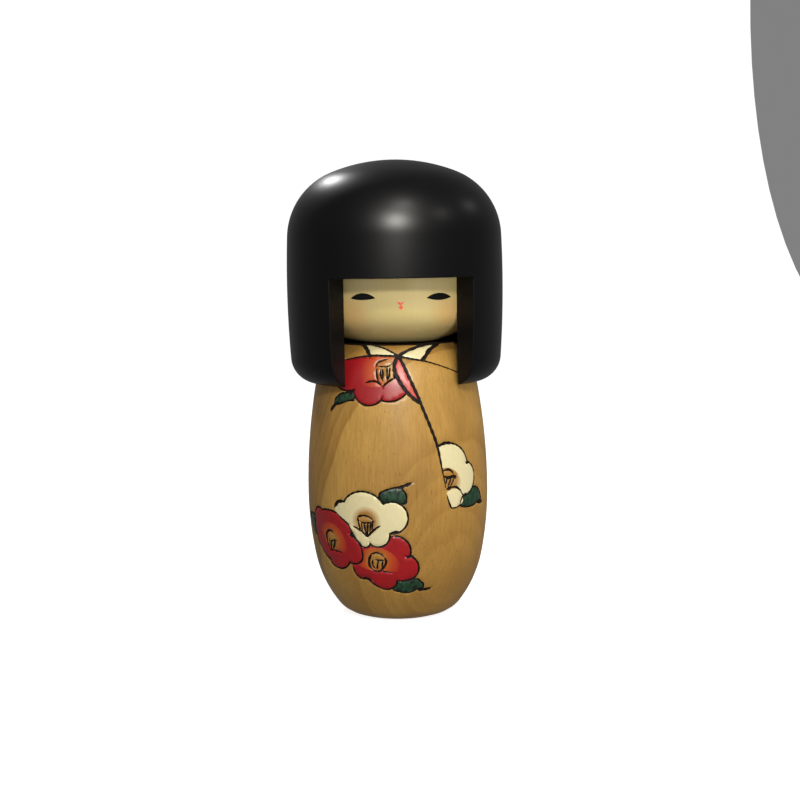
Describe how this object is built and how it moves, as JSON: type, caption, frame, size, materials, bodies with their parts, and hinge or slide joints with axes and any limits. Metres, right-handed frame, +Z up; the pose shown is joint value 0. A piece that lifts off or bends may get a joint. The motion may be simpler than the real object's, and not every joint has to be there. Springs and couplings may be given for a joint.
{
  "type": "kokeshi doll",
  "caption": "Turned wooden kokeshi doll with a barrel body, a bobbed lacquered hair cap around a pale face, painted camellias and a head that turns on a hidden neck peg.",
  "frame": {"origin": "centre of the flat base", "axes": "+Z up along the turning axis, face looking along -Y, +X to the viewer's right"},
  "size_m": [0.0782, 0.0782, 0.165],
  "materials": {
    "body_wood": "stained ochre, clear satin wax",
    "face_wood": "pale ivory, waxed smooth",
    "hair_lacquer": "black satin lacquer on wood",
    "peg_wood": "bare dowel"
  },
  "bodies": {
    "torso": {"body": "body_wood"},
    "turning_head": {"head": "face_wood", "hair_cap": "hair_lacquer", "neck_peg": "peg_wood"}
  },
  "joints": [
    {"name": "head_turn", "type": "hinge", "parent": "torso", "child": "turning_head", "pos_m": [0, 0, 0.1], "axis": [0, 0, 1], "continuous": true}
  ]
}
